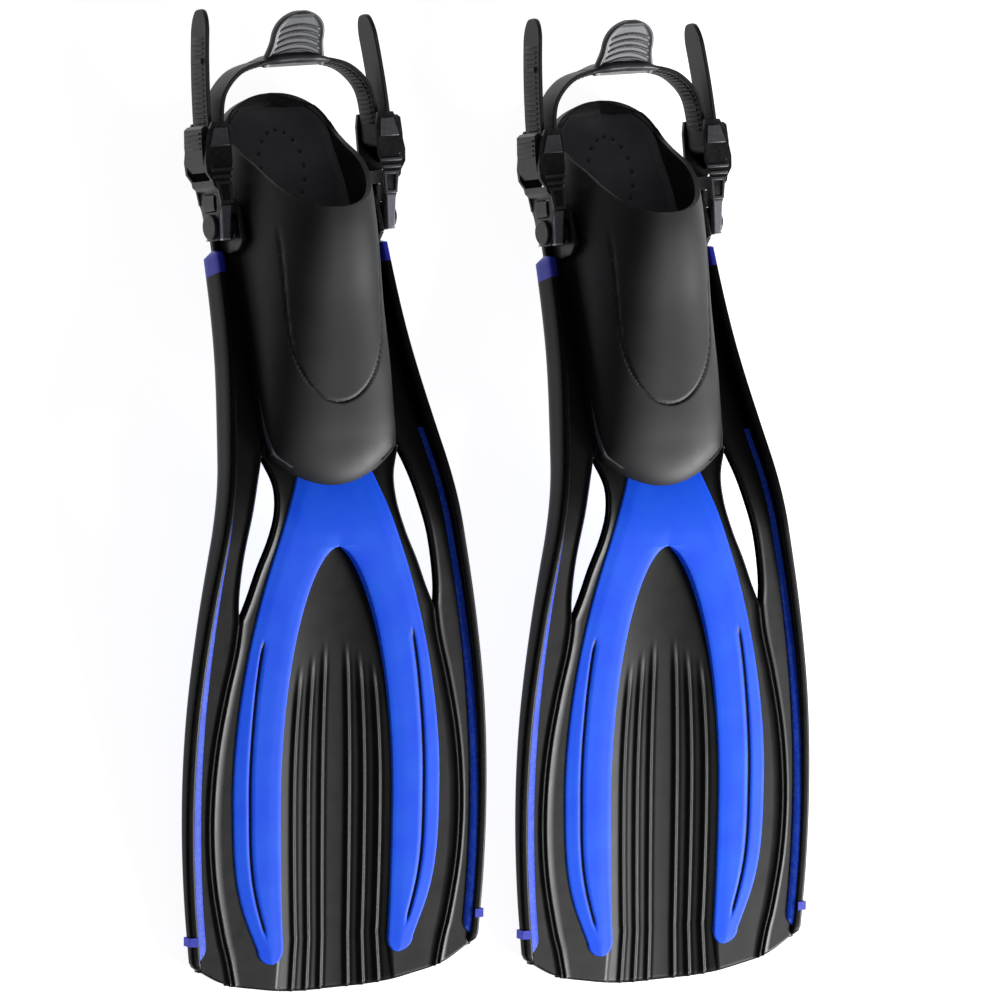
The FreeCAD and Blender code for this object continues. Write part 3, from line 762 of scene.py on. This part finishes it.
def strap_line():
    """The strap's middle line from tail end to tail end, and which of its points lie in the two turns."""
    x, y = TURN_MIDDLE
    bend = []
    for a in steps(0.0, math.pi, 16)[1:-1]:
        bend.append(Vector((x + TURN_RADIUS * math.cos(a), y - TURN_RADIUS * math.sin(a))))
    half = curve_points(LOOP_HALF, STRAP_SPACING)
    outer_tail = curve_points(TAIL_OUTER[::-1], STRAP_SPACING)
    inner_tail = curve_points(TAIL_INNER, STRAP_SPACING)
    line = outer_tail + bend + half + other_side(half[:-1]) + other_side(bend) + inner_tail
    half_turn = len(bend) // 2
    return line, len(outer_tail) + half_turn, len(line) - len(inner_tail) - half_turn - 1


def strap_ring(wide, tooth):
    """Points round the strap's section: place across, and height on the face that bears the bars."""
    outer, inner = STRAP_THICK / 2, -STRAP_THICK / 2
    face_half = wide - STRAP_MARGIN
    half_face = [
        (wide, inner + STRAP_RIM), (wide, outer - STRAP_RIM), (wide - STRAP_RIM, outer),
        (face_half + 0.4, outer), (face_half, outer + tooth * 0.2), (face_half - 0.6, outer + tooth),
    ]
    mirror = [(-w, h) for w, h in half_face[::-1]]
    ring = [(wide - STRAP_RIM, inner)] + half_face + [(0.0, outer + tooth)] + mirror
    return ring + [(-wide + STRAP_RIM, inner), (0.0, inner)]


def strap():
    """Flat rubber strap with smooth margins and a ladder of low bars that ends up outside on the tails."""
    line, first_turn, second_turn = strap_line()
    travelled = distances(line)
    total = travelled[-1]
    stations = []
    for k, point in enumerate(line):
        ahead = (line[min(k + 1, len(line) - 1)] - line[max(k - 1, 0)]).normalized()
        side = Vector((-ahead.y, ahead.x))
        s = travelled[k]
        from_end = min(s, total - s)
        from_turn = s - travelled[first_turn] if s < total / 2 else travelled[second_turn] - s
        wide = STRAP_WIDTH / 2
        if from_end < TAIL_TAPER:
            wide *= 0.2 + 0.8 * math.sqrt(1 - (1 - from_end / TAIL_TAPER) ** 2)
        loop_share = ease(from_turn, 14.0, 18.0)
        tail_share = (1 - ease(from_turn, -20.0, -16.0)) * ease(from_end, TAIL_TAPER, TAIL_TAPER + 6.0)
        phase = abs((from_turn / TOOTH_PITCH) % 1.0 - 0.5)
        tooth = (LOOP_BAR_HEIGHT * loop_share + TAIL_BAR_HEIGHT * tail_share) * ease(phase, 0.14, 0.30)
        if STOP_BAR[0] < -from_turn < STOP_BAR[1]:
            tooth = STOP_BAR_HEIGHT
        squeeze = math.sqrt(max(1 - (1 - min(from_end / 1.4, 1.0)) ** 2, 0.04))
        ring = []
        for w, h in strap_ring(wide, tooth):
            ring.append((point.x + side.x * h * squeeze, point.y + side.y * h * squeeze, w))
        stations.append(ring)
    points, faces = tube(stations)
    return make_mesh("heel_strap", points, faces, STRAP_FRAME, sharp=40)


# -------------------- heel pad and its pull tab

def along_loop():
    """The loop's middle line from side to side and its length from the middle of the heel."""
    half = curve_points(LOOP_HALF, 0.8)
    line = half + other_side(half[:-1])
    travelled = distances(line)
    middle = travelled[len(half) - 1]
    return line, [t - middle for t in travelled]


PAD_HALF_LENGTH = 27.0
PAD_HALF_WIDTH, PAD_END_HALF_WIDTH = 13.0, 10.5
PAD_END_HALF_THICK, PAD_SWELL = 2.1, 1.6


def heel_pad():
    """Smooth rubber sleeve round the middle of the strap, with rounded edges."""
    line, place_of = along_loop()
    stations = []
    for k, s in enumerate(place_of):
        if abs(s) > PAD_HALF_LENGTH:
            continue
        point = line[k]
        ahead = (line[k + 1] - line[k - 1]).normalized()
        side = Vector((ahead.y, -ahead.x))
        left = PAD_HALF_LENGTH - abs(s)
        swell = ease(left, 0.0, 15.0)
        half_thick = (PAD_END_HALF_THICK + PAD_SWELL * swell) * round_end(left, 1.5, 0.3)
        half_wide = PAD_END_HALF_WIDTH + (PAD_HALF_WIDTH - PAD_END_HALF_WIDTH) * swell
        ring = []
        for w, h in soft_box_ring(half_wide, half_thick, 3.2, 36):
            offset = h + 0.5 * swell
            ring.append((point.x + side.x * offset, point.y + side.y * offset, w))
        stations.append(ring)
    points, faces = tube(stations)
    return make_mesh("heel_pad", points, faces, STRAP_FRAME, sharp=55)


TAB_HALF, TAB_ROOT_FLARE = 20.0, 3.6
TAB_START, TAB_SHOULDER, TAB_END = -6.0, 13.0, 32.5
TAB_TOP, TAB_UNDERSIDE = 1.9, -2.2
TAB_EDGE_ROUND, TAB_EDGE_DROP = 1.4, 1.8
RIDGE_PITCH, RIDGE_CURVE = 4.3, 0.016
RIDGES_START, RIDGES_END = (3.6, 5.0), (25.2, 26.6)
TAB_RISE = math.radians(27)
TAB_FRAME = STRAP_FRAME @ Matrix.Translation((0, 107.5, 8)) @ turn_x(TAB_RISE)


def tab_half_at(y):
    """Half width of the tab: flared where it leaves the pad, round at its end."""
    if y <= TAB_SHOULDER:
        return TAB_HALF + TAB_ROOT_FLARE * (1 - ease(y, TAB_START, TAB_SHOULDER))
    share = (y - TAB_SHOULDER) / (TAB_END - TAB_SHOULDER)
    return max(TAB_HALF * math.sqrt(max(1 - share ** 2.5, 0.0)), 0.15)


def tab_top(x, y, edge):
    """Height of the tab's ridged face, at a distance from its edge."""
    rim = math.exp(-((edge - 2.0) / 1.1) ** 2) * ease(y, -4, 2)
    curved = y + RIDGE_CURVE * x * x
    ridge = max(math.cos(2 * math.pi * (curved - 6.0) / RIDGE_PITCH), 0.0) ** 2
    ridge *= ease(curved, *RIDGES_START) * (1 - ease(curved, *RIDGES_END)) * ease(edge, 3.6, 5.4)
    height = TAB_TOP + 0.55 * rim + 0.75 * ridge - 0.25 * ease(edge, 3.0, 5.0)
    return height - edge_dip(edge, TAB_EDGE_ROUND, TAB_EDGE_DROP)


def pull_tab():
    """Thumb loop behind the heel: a stiff tongue with a raised rim and five curved ridges."""
    rows = steps(TAB_START, TAB_SHOULDER, 60)
    round_length = TAB_END - 0.04 - TAB_SHOULDER
    rows += [TAB_SHOULDER + round_length * math.sin(a) for a in steps(0.0, math.pi / 2, 56)][1:]
    columns = 64
    top, under = [], []
    for y in rows:
        wide = tab_half_at(y)
        for angle in steps(-math.pi / 2, math.pi / 2, columns):
            x = wide * math.sin(angle)
            edge = min(wide - abs(x), TAB_END - y)
            top.append((x, y, tab_top(x, y, edge)))
            under.append((x, y, TAB_UNDERSIDE + edge_dip(edge, TAB_EDGE_ROUND, TAB_EDGE_DROP)))
    return make_mesh("pull_tab", top + under, closed_grid(len(rows), columns + 1), TAB_FRAME, sharp=50)


# -------------------- raised detail on the buckles

POST_OFFSET = 62.9                 # from the fin's middle line to the middle of a buckle
BOX_QUADS = [(0, 1, 2, 3), (7, 6, 5, 4), (0, 4, 5, 1), (1, 5, 6, 2), (2, 6, 7, 3), (3, 7, 4, 0)]

# each block: nearer end (along, low out, high out, low up, high up), then its further end
CHEEK_TRIM = [
    ((35.5, -6.6, 9.5, 13.5, 14.9), (37.6, -6.6, 10.5, 13.5, 14.9)),
    ((31.0, -5.4, 8.8, 13.5, 14.9), (33.1, -5.4, 9.0, 13.5, 14.9)),
    ((27.0, -5.0, 6.6, 13.4, 14.8), (29.2, -5.0, 7.4, 13.4, 14.8)),
    ((14.5, -5.0, 4.6, 12.6, 14.8), (16.7, -5.0, 4.6, 12.6, 14.8)),
    ((16.0, -5.0, -2.9, 12.8, 14.8), (28.0, -5.0, -2.9, 12.8, 14.8)),
    ((16.0, 2.5, 4.6, 12.8, 14.8), (28.0, 4.4, 6.6, 12.8, 14.8)),
    ((52.0, -5.6, 9.4, 13.5, 14.7), (64.0, -4.4, 5.6, 13.5, 14.7)),
]
# the tongue on the buckle's window, the pale edge at its end, and the ribs for the thumb on the lever
TONGUE = [((-8.4, -2.9, 2.9, 6.2, 10.6), (14.0, -3.9, 3.9, 8.6, 13.8))]
TONGUE_EDGE = [((-9.0, -3.1, 3.1, 5.8, 10.9), (-7.8, -3.1, 3.1, 5.8, 10.9))]
LEVER_RIBS = [
    ((start, 13.0, 14.6, -9.5, 9.5), (start + 1.3, 13.0, 14.6, -9.5, 9.5))
    for start in (50.5, 53.7, 56.9, 60.1)
]


def trim(name, sign, blocks, both_faces=True):
    """Small raised blocks on a buckle, given in its own outward, along and up directions."""
    points, faces = [], []
    for face_sign in ((1, -1) if both_faces else (1,)):
        for near, far in blocks:
            start = len(points)
            for along, out_low, out_high, up_low, up_high in (near, far):
                corners = ((out_low, up_low), (out_high, up_low), (out_high, up_high), (out_low, up_high))
                for out, up in corners:
                    points.append((sign * (POST_OFFSET + out), along, face_sign * up))
            faces += [[start + v for v in quad] for quad in BOX_QUADS]
    return make_mesh(name, points, faces, STRAP_FRAME, sharp=30)


# -------------------- materials

def linear(value):
    """Linear light of a display value from 0 to 255."""
    value /= 255
    return value / 12.92 if value <= 0.04045 else ((value + 0.055) / 1.055) ** 2.4


def colour(red, green, blue):
    return (linear(red), linear(green), linear(blue), 1.0)


BLACK = (0, 0, 0, 1)
WHITE = (1, 1, 1, 1)


class Surface:
    """A node material with a mottled colour, fine grain, uneven roughness, worn edges and painted shade in
    its hollows.
    """

    def __init__(self, name, dark, light, rough, grain_scale, grain_depth,
                 wear, wear_amount=0.25, shine=0.35):
        self.material = bpy.data.materials.new(name)
        self.material.use_nodes = True
        self.nodes = self.material.node_tree.nodes
        self.links = self.material.node_tree.links
        self.shader = self.nodes["Principled BSDF"]
        self.place = self.nodes.new("ShaderNodeTexCoord").outputs["Object"]
        self.bend = self.nodes.new("ShaderNodeNewGeometry").outputs["Pointiness"]
        base = self.ramp(self.noise(38.0, 4.0), [(0.32, dark), (0.68, light)])
        # painted shade: hollows and creases found by pointiness are darkened towards a fifth of the dark
        # colour
        painted_hollow_shade = self.ramp(self.bend, [(0.455, WHITE), (0.492, BLACK)])
        painted_shade_colour = tuple(0.2 * part for part in dark[:3]) + (1.0,)
        base = self.mix(painted_hollow_shade, base, painted_shade_colour)
        edges = self.ramp(self.bend, [(0.505, BLACK), (0.56, WHITE)])
        broken = self.ramp(self.noise(420.0, 5.0), [(0.45, BLACK), (0.7, WHITE)])
        amount = self.multiply(self.multiply(edges, broken), wear_amount)
        base = self.mix(amount, base, wear)
        self.links.new(base, self.shader.inputs["Base Color"])
        low, high = rough
        uneven = self.nodes.new("ShaderNodeMapRange")
        uneven.inputs["To Min"].default_value = low
        uneven.inputs["To Max"].default_value = high
        self.links.new(self.noise(90.0, 6.0), uneven.inputs["Value"])
        self.links.new(uneven.outputs["Result"], self.shader.inputs["Roughness"])
        self.shader.inputs["Specular IOR Level"].default_value = shine
        bump = self.nodes.new("ShaderNodeBump")
        bump.inputs["Strength"].default_value = grain_depth
        bump.inputs["Distance"].default_value = 0.0002
        self.links.new(self.noise(grain_scale, 3.0), bump.inputs["Height"])
        self.links.new(bump.outputs["Normal"], self.shader.inputs["Normal"])

    def noise(self, scale, detail):
        node = self.nodes.new("ShaderNodeTexNoise")
        node.inputs["Scale"].default_value = scale
        node.inputs["Detail"].default_value = detail
        self.links.new(self.place, node.inputs["Vector"])
        return node.outputs["Fac"]

    def ramp(self, value, stops):
        node = self.nodes.new("ShaderNodeValToRGB")
        for element, (position, shade) in zip(node.color_ramp.elements, stops):
            element.position = position
            element.color = shade
        self.links.new(value, node.inputs["Fac"])
        return node.outputs["Color"]

    def multiply(self, first, second):
        node = self.nodes.new("ShaderNodeMath")
        node.operation = "MULTIPLY"
        self.links.new(first, node.inputs[0])
        if isinstance(second, float):
            node.inputs[1].default_value = second
        else:
            self.links.new(second, node.inputs[1])
        return node.outputs["Value"]

    def mix(self, amount, base, other):
        node = self.nodes.new("ShaderNodeMix")
        node.data_type = "RGBA"
        self.links.new(amount, node.inputs["Factor"])
        self.links.new(base, node.inputs["A"])
        node.inputs["B"].default_value = other
        return node.outputs["Result"]


# each: darker and lighter colour, roughness, scale and depth of the grain, colour of worn edges
blade_black = Surface(
    "blade_black", colour(9, 9, 10), colour(14, 14, 16), (0.32, 0.46), 900, 0.10,
    colour(70, 72, 76), shine=0.25,
).material
rail_black = Surface(
    "rail_black", colour(4, 4, 5), colour(8, 8, 9), (0.26, 0.38), 700, 0.08,
    colour(66, 68, 72), shine=0.12,
).material
channel_black = Surface(
    "channel_black", colour(6, 6, 7), colour(11, 11, 12), (0.34, 0.46), 1100, 0.12,
    colour(60, 62, 66), shine=0.22,
).material
pocket_grey = Surface(
    "pocket_grey", colour(24, 25, 27), colour(32, 33, 36), (0.48, 0.60), 1500, 0.2,
    colour(104, 105, 110), wear_amount=0.18, shine=0.36,
).material
insole_grey = Surface(
    "insole_grey", colour(92, 93, 98), colour(107, 108, 114), (0.5, 0.64), 1500, 0.25,
    colour(90, 91, 95), wear_amount=0.18,
).material
wishbone_blue = Surface(
    "wishbone_blue", colour(8, 84, 255), colour(22, 98, 255), (0.40, 0.52), 1200, 0.10,
    colour(140, 175, 255), wear_amount=0.2, shine=0.15,
).material
# darker blue for the grooves' deep faces: painted shade, not a colour of its own
groove_painted_shade_blue = Surface(
    "groove_painted_shade_blue", colour(18, 44, 120), colour(24, 54, 140), (0.45, 0.6), 1200, 0.10,
    colour(60, 90, 190), wear_amount=0.2,
).material
inlay_blue = Surface(
    "inlay_blue", colour(16, 62, 200), colour(24, 74, 216), (0.40, 0.52), 1200, 0.10,
    colour(150, 180, 255), wear_amount=0.2, shine=0.15,
).material
rail_blue = Surface(
    "rail_blue", colour(20, 28, 150), colour(28, 36, 170), (0.35, 0.5), 1200, 0.10,
    colour(90, 110, 220), wear_amount=0.2,
).material
band_blue = Surface(
    "band_blue", colour(30, 40, 180), colour(40, 52, 200), (0.35, 0.5), 1200, 0.10,
    colour(90, 110, 220), wear_amount=0.2,
).material
buckle_black = Surface(
    "buckle_black", colour(15, 15, 17), colour(22, 22, 25), (0.26, 0.38), 1400, 0.12,
    colour(80, 82, 86),
).material
buckle_grey = Surface(
    "buckle_grey", colour(62, 62, 67), colour(76, 76, 82), (0.3, 0.42), 1400, 0.12,
    colour(110, 112, 118),
).material
tongue_grey = Surface(
    "tongue_grey", colour(104, 102, 112), colour(122, 120, 130), (0.3, 0.42), 1400, 0.12,
    colour(150, 150, 158),
).material
edge_grey = Surface(
    "edge_grey", colour(176, 176, 182), colour(196, 196, 202), (0.3, 0.42), 1400, 0.12,
    colour(210, 212, 218),
).material
strap_black = Surface(
    "strap_black", colour(22, 22, 25), colour(31, 31, 34), (0.42, 0.56), 1300, 0.2,
    colour(70, 71, 75), wear_amount=0.2,
).material
pad_grey = Surface(
    "pad_grey", colour(38, 39, 42), colour(48, 49, 53), (0.36, 0.50), 1300, 0.16,
    colour(92, 93, 98), wear_amount=0.2,
).material
tab_grey = Surface(
    "tab_grey", colour(76, 77, 81), colour(92, 93, 98), (0.34, 0.46), 1300, 0.16,
    colour(130, 131, 136), wear_amount=0.2,
).material
steel_surface = Surface(
    "pin_steel", colour(52, 53, 56), colour(72, 73, 77), (0.3, 0.45), 1800, 0.08,
    colour(120, 118, 114), wear_amount=0.3,
)
steel_surface.shader.inputs["Metallic"].default_value = 1.0
pin_steel = steel_surface.material


# -------------------- pieces

STRAP_BODY = "strap_assembly"

place(plate(), "blade_plate", [blade_black], ["blade_plate"], shell=PLATE)
place(wishbone(), "wishbone_panel", [wishbone_blue, groove_painted_shade_blue], ["wishbone_panel"])
place(channel(), "channel_panel", [channel_black], ["channel_panel"], shell=2.0)
for side, sign in (("outer", 1), ("inner", -1)):
    place(rail(sign), f"rail_{side}", [rail_black, rail_blue], [f"rail_{side}"])
    place(inlay(sign), f"rail_inlay_{side}", [inlay_blue], [f"rail_inlay_{side}"])
place(pocket_shell(), "foot_pocket", [pocket_grey], ["foot_pocket"], shell=3.4, bevel=1.0, bevel_angle=50)
place(footbed(), "footbed", [insole_grey], [])
place(strap(), "heel_strap", [strap_black], ["heel_strap"], body=STRAP_BODY)
place(heel_pad(), "heel_pad", [pad_grey], ["heel_pad"], body=STRAP_BODY)
place(pull_tab(), "pull_tab", [tab_grey], [], body=STRAP_BODY)


def place_trim(name, sign, blocks, part, material, body, bevel, both_faces=True):
    """Raised detail that the CAD leaves out; it replaces no node."""
    place(trim(name, sign, blocks, both_faces), part, [material], [], body=body, bevel=bevel)


def place_copy(node, material, body="fin", bevel=0.0):
    """A small hard piece that keeps the CAD's form, with its edges rounded."""
    place(copy_of(node), node, [material], [node], body=body, bevel=bevel)


for side, sign in (("outer", 1), ("inner", -1)):
    place_trim("cheek_trim", sign, CHEEK_TRIM, f"cheek_trim_{side}", buckle_grey, STRAP_BODY, 0.45)
    place_trim("tongue", sign, TONGUE, f"buckle_tongue_{side}", tongue_grey, STRAP_BODY, 0.9)
    place_trim("tongue_edge", sign, TONGUE_EDGE, f"tongue_edge_{side}", edge_grey, STRAP_BODY, 0.4)
    place_trim("lever_ribs", sign, LEVER_RIBS, f"lever_ribs_{side}", buckle_black, f"lever_{side}", 0.4,
               both_faces=False)
    place_copy(f"strap_post_{side}", buckle_black, bevel=0.7)
    place_copy(f"buckle_frame_{side}", buckle_black, STRAP_BODY, 0.6)
    place_copy(f"buckle_lever_{side}", buckle_black, f"lever_{side}", 0.5)
    place_copy(f"release_button_{side}", buckle_black, f"button_{side}", 0.5)
    place_copy(f"rail_band_{side}", band_blue, bevel=0.4)
place_copy("sole_tread", insole_grey)

for node, thing in frame["nodes"].items():
    if "roller" in node or "pin" in node:
        thing.data.materials.clear()
        thing.data.materials.append(pin_steel)


# -------------------- floor, camera and light

# The floor shines faintly, and its raised border hides the horizon; all in metres.
FLOOR_REACH, FLOOR_KERB = 60.0, 4.0
FLOOR_GAP = 0.0004
CORNER_SIGNS = ((-1, -1), (1, -1), (1, 1), (-1, 1))
floor_points = [(FLOOR_REACH * x, FLOOR_REACH * y, z) for z in (0.0, FLOOR_KERB) for x, y in CORNER_SIGNS]
floor_faces = [(0, 1, 2, 3)] + [(k, k + 4, (k + 1) % 4 + 4, (k + 1) % 4) for k in range(4)]
floor_mesh = bpy.data.meshes.new("floor")
floor_mesh.from_pydata(floor_points, [], floor_faces)
floor = bpy.data.objects.new("floor", floor_mesh)
bpy.context.scene.collection.objects.link(floor)
floor_material = bpy.data.materials.new("floor_white")
floor_material.use_nodes = True
floor_shader = floor_material.node_tree.nodes["Principled BSDF"]
floor_shader.inputs["Base Color"].default_value = (0.6, 0.6, 0.6, 1.0)
floor_shader.inputs["Emission Color"].default_value = (1.0, 1.0, 1.0, 1.0)
floor_shader.inputs["Emission Strength"].default_value = 0.92
floor_shader.inputs["Roughness"].default_value = 1.0
floor_shader.inputs["Specular IOR Level"].default_value = 0.0
floor_mesh.materials.append(floor_material)
floor.location = (0, 0, -FLOOR_GAP)

# The camera looks down on the pair from its left with a long lens, so both fins look alike. The rows of
# EYE are its axes in the left blade's frame, and EYE_SHIFT is its place from AIM along those axes.
SHOWN = 1.04                       # real size of the camera's own millimetre
EYE = Matrix(((0.8445, 0.0096, 0.5355), (0.0694, 0.9895, -0.1271), (-0.5311, 0.1445, 0.8349)))
AIM = Vector((0, 300, 0))
EYE_SHIFT = Vector((101.287, -4.0527, 7000.0))
LENS = 402.12

camera_data = bpy.data.cameras.new("camera")
camera = bpy.data.objects.new("camera", camera_data)
bpy.context.scene.collection.objects.link(camera)
camera_data.sensor_width = 36.0
camera_data.lens = LENS
camera_data.clip_start = 0.1
camera_data.clip_end = 100.0
to_row = BLADE_FRAME.to_3x3()
eye_on_blade = (AIM + EYE.transposed() @ EYE_SHIFT) * SHOWN
camera_turn = (to_row @ EYE.transposed()).to_4x4()
camera.matrix_world = Matrix.Translation(FINS["left"] + (BLADE_FRAME @ eye_on_blade) * MM) @ camera_turn
bpy.context.scene.camera = camera

world = bpy.data.worlds.new("studio")
world.use_nodes = True
world.node_tree.nodes["Background"].inputs["Color"].default_value = (1.0, 1.0, 1.0, 1.0)
world.node_tree.nodes["Background"].inputs["Strength"].default_value = 0.12
bpy.context.scene.world = world
bpy.context.scene.view_settings.view_transform = "Standard"

# one large soft lamp to the right of the tips, aimed at the middle of the pair
LAMP_PLACE = Vector((2.1, -1.3, 1.0))
lamp_data = bpy.data.lights.new("key", "AREA")
lamp_data.shape = "RECTANGLE"
lamp_data.size = 1.2
lamp_data.size_y = 1.0
lamp_data.energy = 122
lamp = bpy.data.objects.new("key", lamp_data)
bpy.context.scene.collection.objects.link(lamp)
lamp.location = LAMP_PLACE
lamp.rotation_euler = (-LAMP_PLACE).to_track_quat("-Z", "Y").to_euler()
